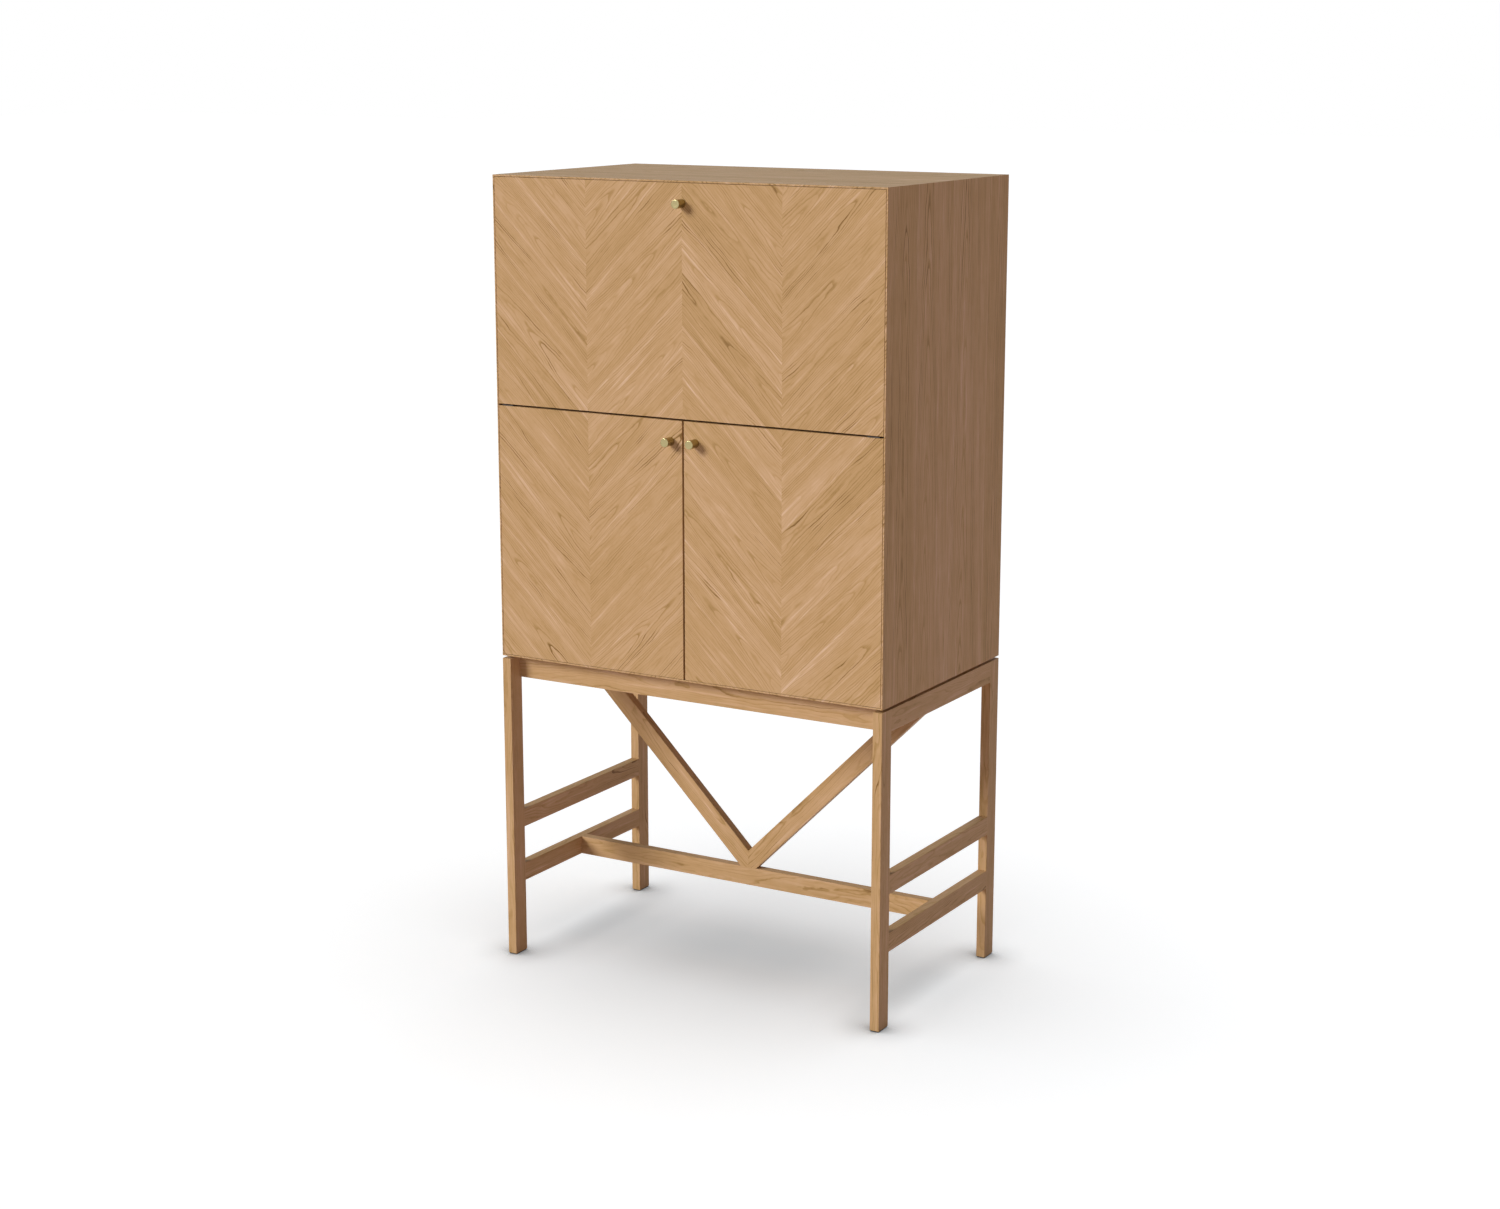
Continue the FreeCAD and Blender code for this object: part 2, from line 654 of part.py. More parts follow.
def flap_hinges():
    """Knuckle hinges: a leaf let into the flap, a tongue in the shelf edge, and a pin."""
    leaf_x = around("hinge_x", "hinge_leaf_width")
    leaf_z = ("flap_bottom", "flap_bottom + hinge_leaf_height")
    wings = box(around("hinge_x", "hinge_leaf_width + 2 * hinge_wing_width"),
                ("front_inner_y - hinge_wing_thickness", "front_inner_y"), leaf_z)
    leaf = fuse(box(leaf_x, ("hinge_skin_y", "front_inner_y"), leaf_z), wings)
    wing_screws = [wood_screw("hinge_x %s (hinge_leaf_width + hinge_wing_width) / 2" % sign,
                              ("front_inner_y - screw_length", "front_inner_y"),
                              "flap_bottom + hinge_leaf_height / 2", head="high") for sign in "-+"]
    slot = box(around("hinge_x", "hinge_tongue_thickness + 2 * side_play"),
               ("hinge_skin_y - overrun", "front_inner_y + overrun"),
               ("flap_bottom - overrun", "flap_axis_z + hinge_tongue_radius + swing_play"))
    pin = rod("hinge_pin_radius", leaf_x, "flap_axis_y", "flap_axis_z")
    bore_x = around("hinge_x", "hinge_leaf_width + 2 * overrun")
    bore = rod("hinge_pin_radius + fit_clearance", bore_x, "flap_axis_y", "flap_axis_z")
    tongue_x = around("hinge_x", "hinge_tongue_thickness")
    tongue = box(tongue_x, ("flap_axis_y", "recess_back + hinge_tongue_depth"),
                 around("flap_axis_z", "2 * hinge_tongue_radius"))
    nose = rod("hinge_tongue_radius", tongue_x, "flap_axis_y", "flap_axis_z")
    screws["flap"] += both(*wing_screws)
    sockets["flap"] += both(leaf, *wing_screws)
    sockets["middle_shelf"] += both(tongue)
    group("flap_hinge_leaves", *both(cut(leaf, slot, bore, *wing_screws)))
    group("flap_hinge_tongues", *both(cut(fuse(tongue, nose), bore)))
    group("flap_hinge_pins", *both(pin))


def along_stay(x, low, high, half):
    """A round-ended bar along the line of the stay, between two distances from its rivet."""
    bar = doc.addObject("Part::Box", "StayBar")
    bar.Placement = FreeCAD.Placement(FreeCAD.Vector(), FreeCAD.Vector(1, 0, 0), 0)
    bind(bar, Length=span(x), Width=span((low, high)), Height="2 * (%s)" % half)
    bar.setExpression("Placement.Rotation.Angle", expand("-(stay_tilt)"))
    locate(bar, x[0], "rivet_y + (%s) * cos(stay_tilt) - (%s) * sin(stay_tilt)" % (low, half),
           "rivet_z - (%s) * sin(stay_tilt) - (%s) * cos(stay_tilt)" % (low, half))
    ends = [rod(half, x, "rivet_y + (%s) * cos(stay_tilt)" % end, "rivet_z - (%s) * sin(stay_tilt)" % end)
            for end in (low, high)]
    return fuse(bar, *ends)


def flap_stays():
    """Slotted stays: each turns on a rivet at the flap and slides along a stud on the side.

    The rivet and the stud are equally far from the flap's axis, so a stay
    always turns half as far as the flap.
    """
    stay_x = ("stay_inner_x", "stay_outer_x")
    cut_x = ("stay_inner_x - overrun", "stay_outer_x + overrun")
    arm = along_stay(stay_x, "0", "stay_end", "stay_width / 2")
    slot = along_stay(cut_x, "stay_closed - stay_slot_lead", "stay_end", "stud_radius + side_play")
    hole = rod("rivet_radius + fit_clearance", cut_x, "rivet_y", "rivet_z")
    pair("stay_arm", cut(arm, slot, hole))

    collar_x = ("side_inner_x - stud_collar_length", "side_inner_x")
    head_x = ("tab_outer_x - stud_head_thickness", "tab_outer_x")
    tail_x = ("side_inner_x", "side_inner_x + stud_tail")
    sockets["side_panel"].append(rod("stud_radius + fit_clearance", tail_x, "stud_y", "stud_z"))
    stud = fuse(rod("stud_radius", ("tab_outer_x", tail_x[1]), "stud_y", "stud_z"),
                rod("stud_collar_radius", collar_x, "stud_y", "stud_z"),
                rod("stud_head_radius", head_x, "stud_y", "stud_z"))
    group("stay_studs", *both(stud))

    tab_x = ("tab_inner_x", "tab_outer_x")
    tab = box(tab_x, ("front_inner_y", "rivet_y"), around("rivet_z", "2 * bracket_tab_radius"))
    tab_end = rod("bracket_tab_radius", tab_x, "rivet_y", "rivet_z")
    base = box(("tab_outer_x - bracket_base_width", "tab_outer_x"),
               ("front_inner_y", "front_inner_y + bracket_base_thickness"),
               around("rivet_z", "bracket_base_height"))
    tab_hole = rod("rivet_radius + fit_clearance", ("tab_inner_x - overrun", "tab_outer_x + overrun"),
                   "rivet_y", "rivet_z")
    base_screws = [wood_screw("(tab_inner_x + tab_outer_x - bracket_base_width) / 2",
                              ("front_inner_y + bracket_base_thickness - screw_length",
                               "front_inner_y + bracket_base_thickness"),
                              "rivet_z %s bracket_base_height * bracket_screw_share" % sign, head="high")
                   for sign in "-+"]
    screws["flap"] += both(*base_screws)
    sockets["flap"] += both(*base_screws)
    group("stay_brackets", *both(cut(fuse(tab, tab_end, base), tab_hole, *base_screws)))

    inner_head = ("tab_inner_x - rivet_head_thickness", "tab_inner_x")
    outer_head = ("stay_outer_x + side_play", "stay_outer_x + side_play + rivet_head_thickness")
    rivet = fuse(rod("rivet_radius", (inner_head[1], outer_head[0]), "rivet_y", "rivet_z"),
                 rod("rivet_head_radius", inner_head, "rivet_y", "rivet_z"),
                 rod("rivet_head_radius", outer_head, "rivet_y", "rivet_z"))
    group("stay_rivets", *both(rivet))


def catches():
    """Magnets under the top for the flap and under the shelf for the doors, with strikes."""
    flap_x = around("flap_catch_x", "catch_width")
    catch_y = ("catch_front", "catch_front + catch_depth")
    strike_y = ("front_inner_y", "front_inner_y + strike_thickness")
    strike_screw_y = ("front_inner_y + strike_thickness - screw_length", "front_inner_y + strike_thickness")
    strike_width = "catch_width - 2 * strike_margin"
    catch_screw_y = "catch_front + catch_depth * catch_screw_share"

    flap_z = ("ceiling - catch_height", "ceiling")
    catch_screw = wood_screw("flap_catch_x", catch_screw_y,
                             (flap_z[0], "ceiling + catch_screw_depth"), head="low")
    group("flap_catches", *both(cut(box(flap_x, catch_y, flap_z), catch_screw)))
    sockets["top_panel"] += both(catch_screw)
    strike_z = ("ceiling - catch_height + strike_margin", "ceiling - strike_margin")
    strike_screw = wood_screw("flap_catch_x", strike_screw_y, "ceiling - catch_height / 2", head="high")
    strike = cut(box(around("flap_catch_x", strike_width), strike_y, strike_z), strike_screw)
    group("flap_strikes", *both(strike))
    screws["case"] += both(catch_screw)
    screws["flap"] += both(strike_screw)
    sockets["flap"] += both(strike_screw)

    door_x = around("door_catch_inset", "catch_width")
    door_z = ("door_catch_top - door_catch_height", "door_catch_top")
    hanger_y = ("recess_back + swing_play", "catch_front + catch_depth")
    hanger = box(door_x, hanger_y, (door_z[0], "shelf_bottom"))
    catch_screw = wood_screw("door_catch_inset", catch_screw_y,
                             (door_z[0], "shelf_bottom + catch_screw_depth"), head="low")
    group("door_catches", *both(cut(fuse(hanger, box(door_x, catch_y, door_z)), catch_screw)))
    sockets["middle_shelf"] += both(catch_screw)
    strike_z = (door_z[0] + " + strike_margin", door_z[1] + " - strike_margin")
    strike_screw = wood_screw("door_catch_inset", strike_screw_y,
                              "door_catch_top - door_catch_height / 2", head="high")
    pair("door_strike", cut(box(around("door_catch_inset", strike_width), strike_y, strike_z), strike_screw))
    screws["case"] += both(catch_screw)
    screws["door"].append(strike_screw)
    sockets["door"].append(strike_screw)


def flap():
    """The drop flap, which opens to a level shelf in front of the case."""
    handle, screw, hole = knob("0", "flap_top - flap_knob_drop")
    slab = front_slab(across("front_outer_x"), ("flap_bottom", "flap_top"))
    node("fold_out_shelf", cut(slab, hole, *sockets["flap"]))
    node("flap_knob", handle)
    group("flap_screws", screw, *screws["flap"])


def door_pivots():
    """Pins on cranked brackets at the top and bottom outer corners of each door.

    The top bracket stands in the seam under the flap and the bottom one is let
    into the case floor.
    """
    plate_x = ("pivot_plate_inner_x", "pivot_plate_outer_x")
    side_x = ("pivot_plate_inner_x", "side_inner_x")
    plate_y = ("pivot_plate_front", "recess_back")
    top_z = ("top_plate_bottom", "top_plate_top")
    bottom_z = ("bottom_plate_bottom", "recess_bottom")
    top_pin_z = ("door_top - pivot_pin_engagement", "top_plate_top")
    bottom_pin_z = ("bottom_plate_bottom", "door_bottom + pivot_pin_engagement")
    riser_y = ("recess_back - pivot_plate_thickness", "recess_back")
    axis = {"x": "door_axis_x", "y": "door_axis_y"}

    flange_x = ("side_inner_x - pivot_plate_thickness", "side_inner_x")
    flange_screw_x = (flange_x[0], flange_x[0] + " + screw_length")
    flange_screw_z = "top_plate_top - pivot_flange_height / 2"
    floor_screw_x = "(pivot_plate_inner_x + side_inner_x) / 2"
    floor_screw_z = ("floor_top + pivot_plate_thickness - screw_length", "floor_top + pivot_plate_thickness")
    flange_screws = []
    floor_screws = []
    for share in PIVOT_SCREW_SHARES:
        y = "recess_back + (pivot_plate_back - recess_back) * %s" % share
        flange_screws.append(wood_screw(flange_screw_x, y, flange_screw_z, head="low"))
        floor_screws.append(wood_screw(floor_screw_x, y, floor_screw_z, head="high"))
    sockets["side_panel"] += flange_screws
    screws["case"] += both(*flange_screws, *floor_screws)

    top = fuse(box(plate_x, plate_y, top_z),
               box(side_x, ("pivot_plate_front", "pivot_plate_back"), top_z),
               box(flange_x, ("recess_back", "pivot_plate_back"),
                   ("top_plate_top - pivot_flange_height", "top_plate_top")))
    bottom = fuse(box(plate_x, plate_y, bottom_z),
                  box(side_x, riser_y, ("bottom_plate_bottom", "floor_top + pivot_plate_thickness")),
                  box(side_x, ("recess_back - pivot_plate_thickness", "pivot_plate_back"),
                      ("floor_top", "floor_top + pivot_plate_thickness")))
    sockets["bottom_panel"] += both(bottom, *floor_screws)
    pins = []
    bushes = []
    brackets = []
    ends = ((top, flange_screws, top_pin_z, ("door_top - bush_length", "door_top")),
            (bottom, floor_screws, bottom_pin_z, ("door_bottom", "door_bottom + bush_length")))
    for bracket, bracket_screws, pin_z, bush_z in ends:
        bore = rod("pivot_pin_radius + fit_clearance", z=pin_z, **axis)
        bush = rod("bush_radius", z=bush_z, **axis)
        pins.append(rod("pivot_pin_radius", z=pin_z, **axis))
        bushes.append(cut(bush, bore))
        brackets.append(cut(bracket, bore, *bracket_screws))
        sockets["door"].append(bush)
    group("door_top_brackets", *both(brackets[0]))
    group("door_bottom_brackets", *both(brackets[1]))
    group("door_pivot_pins", *both(*pins))
    group("right_door_bushes", *bushes)
    group("left_door_bushes", *(mirror(bush) for bush in bushes))


def doors():
    """Two doors below the flap, each with a knob beside the meeting edge."""
    handle, screw, hole = knob("door_inner_x + door_knob_inset", "door_top - door_knob_drop")
    slab = front_slab(("door_inner_x", "front_outer_x"), ("door_bottom", "door_top"))
    pair("door", cut(slab, hole, *sockets["door"]))
    pair("door_knob", handle)
    group("right_door_screws", screw, *screws["door"])
    group("left_door_screws", *(mirror(item) for item in (screw, *screws["door"])))


# Joining pieces come first, because they leave their sockets in what they join
stand_tenons()
brace_dowels()
case_bolts()
corner_splines()
shelf_dowels()
loose_shelf()
flap_hinges()
flap_stays()
catches()
door_pivots()
stand()
back_panel()
case()
flap()
doors()

doc.recompute()
for item in doc.Objects:
    if {"Invalid", "Error"} & set(item.State):
        raise RuntimeError("%s did not compute: %s" % (item.Label, item.State))
for item in nodes:
    if item.Shape.isNull() or not item.Shape.isValid():
        raise RuntimeError("%s has no valid shape" % item.Label)

os.makedirs("parts", exist_ok=True)
for item in nodes:
    item.Shape.exportStep(os.path.join("parts", item.Label + ".step"))
    print("%-24s %3d solids %12.1f mm3" % (item.Label, len(item.Shape.Solids), item.Shape.Volume))
print(len(nodes), "nodes")
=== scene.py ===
# %% [markdown]
# A bar cabinet in oak: a case with a drop flap above two doors, all faced with chevron
# veneer, on an open stand with a V of braces. Its solid shapes arrive ready made in metres,
# so this lesson is about what the eye adds to them: softened edges, turned knobs, the run
# of the grain in every piece, and plain studio light. We load the shapes first; the box
# round a shape later gives the size and place of the knob that stands in for it. Nothing
# that we add may make the cabinet bigger.

import json
import math

import bmesh
import bpy
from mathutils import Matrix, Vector


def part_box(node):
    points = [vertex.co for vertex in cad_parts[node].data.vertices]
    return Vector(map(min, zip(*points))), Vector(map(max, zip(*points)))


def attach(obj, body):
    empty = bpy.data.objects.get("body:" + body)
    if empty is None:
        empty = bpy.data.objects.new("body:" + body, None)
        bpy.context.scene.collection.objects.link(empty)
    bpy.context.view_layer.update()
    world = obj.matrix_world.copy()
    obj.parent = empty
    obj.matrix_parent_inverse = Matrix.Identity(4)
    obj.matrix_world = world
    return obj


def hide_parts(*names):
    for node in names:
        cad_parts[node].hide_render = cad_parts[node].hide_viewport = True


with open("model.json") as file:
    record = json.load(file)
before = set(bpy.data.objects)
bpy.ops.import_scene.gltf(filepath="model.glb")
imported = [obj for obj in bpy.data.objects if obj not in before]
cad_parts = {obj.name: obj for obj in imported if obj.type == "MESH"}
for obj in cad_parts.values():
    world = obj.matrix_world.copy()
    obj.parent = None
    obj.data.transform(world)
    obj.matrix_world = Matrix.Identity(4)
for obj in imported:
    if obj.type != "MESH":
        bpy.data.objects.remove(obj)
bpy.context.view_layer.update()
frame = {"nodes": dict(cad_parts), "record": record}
nodes = frame["nodes"]
scene = bpy.context.scene
scene.view_settings.view_transform = "Standard"

# %% [markdown]
# The picture is taken from the front right, a little above the top of the cabinet, with a
# long lens that keeps the upright edges nearly parallel. A camera can be placed by eye, but
# here its place was worked out from the straight edges of the cabinet, so that every edge
# falls where it should. Depth of field stays off, as in a catalogue picture.

# %% Camera
STANDPOINT = (2.3671, -4.0162, 1.7205)
TURNED_LEFT = 30.462
TILTED_DOWN = 12.497

camera = bpy.data.objects.new("camera", bpy.data.cameras.new("camera"))
scene.collection.objects.link(camera)
camera.data.sensor_width = 36
camera.data.lens = 61.678
camera.location = STANDPOINT
camera.rotation_euler = (math.radians(90 - TILTED_DOWN), 0, math.radians(TURNED_LEFT))
scene.camera = camera
print("camera stands", round(camera.location.length, 2), "m from the floor under the cabinet")

# %% [markdown]
# Shader nodes can be wired one by one, but sums soon become hard to read that way. So one
# small class stands for the output of a node: adding, subtracting or scaling two of them
# adds a Math node, and its method named node adds any other kind, with the settings first
# and then a value or a wire for each socket. The rest of the lesson writes its patterns as
# plain sums.

# %% Sums of node outputs
class Wire:
    """The output of a shader node; sums of wires become Math nodes."""

    def __init__(self, tree, socket=None):
        self.tree = tree
        self.socket = socket

    def node(self, kind, settings=None, inputs=None, out=0):
        """Add a node: settings first, then a value or a wire for each socket."""
        made = self.tree.nodes.new("ShaderNode" + kind)
        for name, value in (settings or {}).items():
            if name == "stops":
                fill_ramp(made.color_ramp, value)
            else:
                setattr(made, name, value)
        feed(self.tree, made, inputs or {})
        return Wire(self.tree, made.outputs[out])

    def other(self, out):
        """Another output of the same node."""
        return Wire(self.tree, self.socket.node.outputs[out])

    def math(self, operation, *values):
        """A Math node on this wire and the values that follow."""
        return self.node("Math", {"operation": operation}, dict(enumerate((self, *values))))

    def __add__(self, value):
        return self.math("ADD", value)

    __radd__ = __add__

    def __sub__(self, value):
        return self.math("SUBTRACT", value)

    def __rsub__(self, value):
        return self.node("Math", {"operation": "SUBTRACT"}, {0: value, 1: self})

    def __mul__(self, value):
        return self.math("MULTIPLY", value)

    __rmul__ = __mul__

    def __truediv__(self, value):
        return self.math("DIVIDE", value)

    def __rtruediv__(self, value):
        return self.node("Math", {"operation": "DIVIDE"}, {0: value, 1: self})

    def __abs__(self):
        return self.math("ABSOLUTE")

    def between(self, low, high):
        """A soft step from 0 at the low value to 1 at the high value."""
        return self.node("MapRange", {"interpolation_type": "SMOOTHSTEP"},
                         {"Value": self, "From Min": low, "From Max": high})

    def blend(self, first, second):
        """A colour between two, by this wire as the factor."""
        factor, colour_a, colour_b, result = 0, 6, 7, 2
        return self.node("Mix", {"data_type": "RGBA"},
                         {factor: self, colour_a: first, colour_b: second}, out=result)


def feed(tree, made, inputs):
    """Give the sockets of a node their values or links."""
    for key, value in inputs.items():
        if isinstance(value, Wire):
            tree.links.new(value.socket, made.inputs[key])
        else:
            made.inputs[key].default_value = value


def fill_ramp(ramp, stops):
    """Set the stops of a colour ramp from a list of places and colours."""
    while len(ramp.elements) < len(stops):
        ramp.elements.new(1)
    for element, (place, colour) in zip(ramp.elements, stops):
        element.position = place
        element.color = colour


print("sums of wires are ready")

# %% [markdown]
# The cabinet stands in a white studio. A curved backdrop could be built, but a white world
# looks the same and has no edges to hide. A world that is bright enough to look white would
# flatten the wood, so the path of the light tells two cases apart: eyes, mirrors and glass
# see plain white, and surfaces are lit by a dimmer share of it.

# %% White studio
FILL = 0.09
WHITE = (1, 1, 1, 1)


def in_view(at):
    """1 for what eyes, mirrors and glass show, and 0 for light that falls on surfaces."""
    path = at.node("LightPath", out="Is Camera Ray")
    mirrored, let_through = path.other("Is Glossy Ray"), path.other("Is Transmission Ray")
    return path.math("MAXIMUM", mirrored).math("MAXIMUM", let_through)


scene.world = bpy.data.worlds.new("studio")
scene.world.use_nodes = True
sky = Wire(scene.world.node_tree)
brightness = FILL + (1 - FILL) * in_view(sky)
feed(sky.tree, sky.tree.nodes["Background"], {"Color": WHITE, "Strength": brightness})
print("a white studio that lights surfaces at", FILL)

# %% [markdown]
# The floor is one wide pale sheet. It looks white where nothing stands over it, and keeps
# the shadow of the cabinet. Close to the feet less light gets in from the sides, and lamps
# alone show that too weakly, so a contact shadow is also painted into the floor: its paint
# and glow darken with the share of the air around that is taken up. Wood throws warm light
# into its own shade, so the floor has a slightly warm paint and a slightly cool glow, which
# even out. To the cabinet it throws back less light than the eye sees, so the undersides
# stay dark enough.

# %% Floor
FLOOR_REACH = 40
# Reach and depth of the contact shadow that is painted into the floor near the feet.
CONTACT_SHADOW_REACH = 0.08
CONTACT_SHADOW_DEPTH = 1.2
BLACK = (0, 0, 0, 1)
PAINT_SEEN = ((0.900, 0.867, 0.853, 1), (0.920, 0.887, 0.873, 1))
PAINT_THROWN_BACK = (0.36, 0.285, 0.295, 1)
GLOW_SEEN = (0.268, 0.308, 0.330, 1)
GLOW_THROWN_BACK = (0.26, 0.21, 0.215, 1)


def new_finish(name):
    """A material with an empty pattern, and the wire that adds nodes to it."""
    material = bpy.data.materials.new(name)
    material.use_nodes = True
    return material, Wire(material.node_tree)


def surface(material, sockets):
    """Set what the material's main shader receives."""
    feed(material.node_tree, material.node_tree.nodes["Principled BSDF"], sockets)
    return material


def floor_finish():
    """Matt paint with a faint glow, both with a contact shadow painted in close to the feet."""
    material, at = new_finish("floor_paint")
    seen = in_view(at)
    mottle = at.node("TexNoise", {}, {"Vector": at.node("TexCoord", out="Object"), "Scale": 3.0})
    open_air = at.node("AmbientOcclusion", {"samples": 4}, {"Distance": CONTACT_SHADOW_REACH}, out="AO")
    # Painted contact shadow: 1 in the open, lower where the feet take up the air round the floor.
    painted_shadow_factor = 1 - CONTACT_SHADOW_DEPTH * (1 - open_air)
    paint = seen.blend(PAINT_THROWN_BACK, mottle.blend(*PAINT_SEEN))
    glow = seen.blend(GLOW_THROWN_BACK, GLOW_SEEN)
    return surface(material, {
        "Base Color": painted_shadow_factor.blend(BLACK, paint),
        "Roughness": 0.9,
        "Specular IOR Level": 0.0,
        "Emission Color": painted_shadow_factor.blend(BLACK, glow),
        "Emission Strength": 1.0,
    })


ground = bmesh.new()
bmesh.ops.create_grid(ground, x_segments=8, y_segments=8, size=FLOOR_REACH)
floor = bpy.data.objects.new("floor", bpy.data.meshes.new("floor"))
ground.to_mesh(floor.data)
ground.free()
scene.collection.objects.link(floor)
floor.data.materials.append(floor_finish())
print("a pale floor", round(floor.dimensions.x), "m wide")

# %% [markdown]
# Furniture is lit by a soft main lamp, high at the front left, and a weak warm one at the
# right. A third broad lamp hangs straight above and gives the soft pool of shadow under the
# cabinet. Area lamps would do, but their light falls off over the floor, so each lamp is a
# sun with a wide disc. The lamps are linked: the hanging one lights only the floor, and the
# other two leave the floor out, so no long shadows lie across it.

# %% Lamps
def lamp(name, towards, strength, disc, on_floor):
    """A sun that shines in one direction, with a disc of the given width in degrees."""
    sun = bpy.data.objects.new(name, bpy.data.lights.new(name, "SUN"))
    scene.collection.objects.link(sun)
    sun.data.energy = strength * math.pi
    sun.data.angle = math.radians(disc)
    sun.rotation_euler = Vector(towards).to_track_quat("-Z", "Y").to_euler()
    lit = bpy.data.collections.new(name + "_lights")
    lit.objects.link(floor)
    lit.collection_objects[0].light_linking.link_state = "INCLUDE" if on_floor else "EXCLUDE"
    sun.light_linking.receiver_collection = lit
    return sun.data


lamp("main_lamp", towards=(0.74, 1.0, -0.56), strength=0.90, disc=24, on_floor=False)
warm = lamp("side_lamp", towards=(-0.90, 0.50, -0.15), strength=0.09, disc=40, on_floor=False)
warm.color = (1.0, 0.68, 0.70)
lamp("hanging_lamp", towards=(0.0, 0.0, -1.0), strength=0.75, disc=62, on_floor=True)
print("three lamps, one of them for the floor alone")

# %% [markdown]
# In wood everything is long in the direction of the grain and narrow across it. A photograph
# of wood would repeat and would stop at the edges of a piece, so all patterns are worked out
# from the place in the wood: how far along the grain, how far across it and how deep. Noise
# that is stretched along the grain gives streaks of any size. A random value for each whole
# number tells one year of growth from the next, and one leaf of veneer from its neighbour.

# %% Places and streaks in the wood
def place_in(at):
    """The three coordinates of a place on the cabinet at rest, in metres."""
    split = at.node("SeparateXYZ", {}, {0: at.node("TexCoord", out="Object")})
    return split, split.other("Y"), split.other("Z")


def grain_noise(at, along, across, deep, length, width, detail, apart):
    """Noise with the given length along the grain and width across it, in metres."""
    place = at.node("CombineXYZ", {},
                    {0: along / length, 1: across / width, 2: deep / width + apart})
    return at.node("TexNoise", {}, {"Vector": place, "Scale": 1.0, "Detail": detail})


def luck(at, number):
    """A random value from 0 to 1 for each whole number."""
    return at.node("TexWhiteNoise", {"noise_dimensions": "1D"}, {"W": number.math("FLOOR")})


print("streaks follow the grain")

# %% [markdown]
# Oak shows its growth rings as lines: each year starts with a dark band of open pores and ends
# in smooth pale wood. Over and between them lie broad drifts of tone, fine fibres, short dark
# pores, pale rays, and now and then a dark fleck. Each of these could be a texture of its own,
# but they belong together, so one function adds them up to a single tone. The distance from
# the heart of the tree, cut into years, gives the rings, and streaks give the rest. Every oak
# piece below uses this figure and differs only in the way its grain runs.

# %% Figure of oak
YEAR = 0.0034
WANDER, RIPPLE = 0.020, 0.0042
MIDDLE_TONE = 0.60
OAK_TONES = [(0.0, (0.203, 0.104, 0.028, 1)), (0.30, (0.396, 0.240, 0.088, 1)),
             (0.55, (0.496, 0.310, 0.139, 1)), (0.78, (0.577, 0.375, 0.207, 1)),
             (1.0, (0.680, 0.480, 0.315, 1))]
# Length along the grain and width across it in metres, detail, and the place in the noise.
STREAKS = {
    "wander": (0.22, 0.050, 2.0, 5.0),
    "ripple": (0.035, 0.016, 2.0, 7.0),
    "drift": (0.30, 0.030, 1.0, 11.0),
    "cloud": (0.030, 0.018, 2.0, 13.0),
    "band": (0.30, 0.010, 3.0, 17.0),
    "fibre": (0.04, 0.0013, 2.0, 23.0),
    "pore": (0.009, 0.0005, 0.0, 29.0),
    "patch": (0.10, 0.040, 2.0, 31.0),
    "fleck": (0.045, 0.0018, 2.0, 37.0),
    "ray": (0.16, 0.0070, 1.0, 41.0),
}


def oak(at, along, across, deep, heart, lift=0.0, coarse=1.0):
    """What oak sends to the shader, from the place in the wood, in metres."""
    def streaks(kind):
        length, width, *rest = STREAKS[kind]
        return grain_noise(at, along, across, deep, length * coarse, width * coarse, *rest)

    def swing(kind):
        return streaks(kind) - 0.5

    sway = WANDER * swing("wander") + RIPPLE * swing("ripple")
    age = (heart + coarse * sway) / (YEAR * coarse)
    ring, vigour = age.math("FRACT"), luck(at, age)
    early = (1 - ring.between(0.10, 0.50)) * ring.between(0.0, 0.08) * (0.2 + 0.8 * vigour)
    fibre = swing("fibre")
    pore = streaks("pore").between(0.58, 0.70) * (0.3 + 0.7 * early)
    patch = streaks("patch").between(0.52, 0.66)
    bold = early * vigour.between(0.60, 0.80) * patch
    fleck = streaks("fleck").between(0.57, 0.66) * patch.between(0.7, 1.0)
    ray = streaks("ray").between(0.56, 0.76)
    broad = 0.34 * swing("drift") + 0.22 * swing("cloud") + 0.28 * swing("band") + 0.22 * ray
    fine = (0.36 * fibre - 0.32 * early) * coarse - 0.12 * pore
    rare = (0.46 * bold + 0.16 * fleck) / coarse ** 2
    tone = MIDDLE_TONE + lift + broad + fine - rare
    relief = 0.5 * fibre - 0.35 * early - 0.8 * pore
    return {
        "Base Color": at.node("ValToRGB", {"stops": OAK_TONES}, {"Fac": tone}),
        "Roughness": 0.56 + 0.12 * fibre + 0.15 * pore,
        "Specular IOR Level": 0.2,
        "Normal": at.node("Bump", {}, {"Strength": 0.35, "Distance": 0.0003, "Height": relief}),
    }


print("oak has", len(OAK_TONES), "tones and a ring every", YEAR * 1000, "mm")

# %% [markdown]
# Veneer comes off the log in leaves, which are laid side by side. In each leaf the rings make
# tall arches in the middle and run straight along both sides. That is what a flat cut beside
# the heart of the tree gives, so the distance from a line a little below the leaf, tilted
# slightly along the grain, draws it. The arches could be drawn leaf by leaf, but a random
# number gives each leaf its own offset, tilt and tone.

# %% Leaves of veneer
HEART_BELOW = 0.010
LEAVES_APART = 7
LENGTHS_APART = 3


def veneer(at, along, across, deep, leaf_width, coarse):
    """What a sheet of oak veneer, laid in leaves, sends to the shader."""
    leaf = across / leaf_width + deep * LEAVES_APART
    chance = luck(at, leaf)
    place = leaf.math("FRACT") - 0.5
    beside = (place + 0.5 * (chance - 0.5)) * leaf_width
    tilt = 0.015 + 0.045 * chance
    heart = (beside * beside + HEART_BELOW ** 2).math("SQRT") + tilt * along + chance
    rim = abs(place).between(0.43, 0.49)
    lift = 0.12 * (chance - 0.5) + 0.16 * rim * chance
    return oak(at, along + LENGTHS_APART * chance, across, deep, heart, lift, coarse)


print("veneer is laid in leaves")

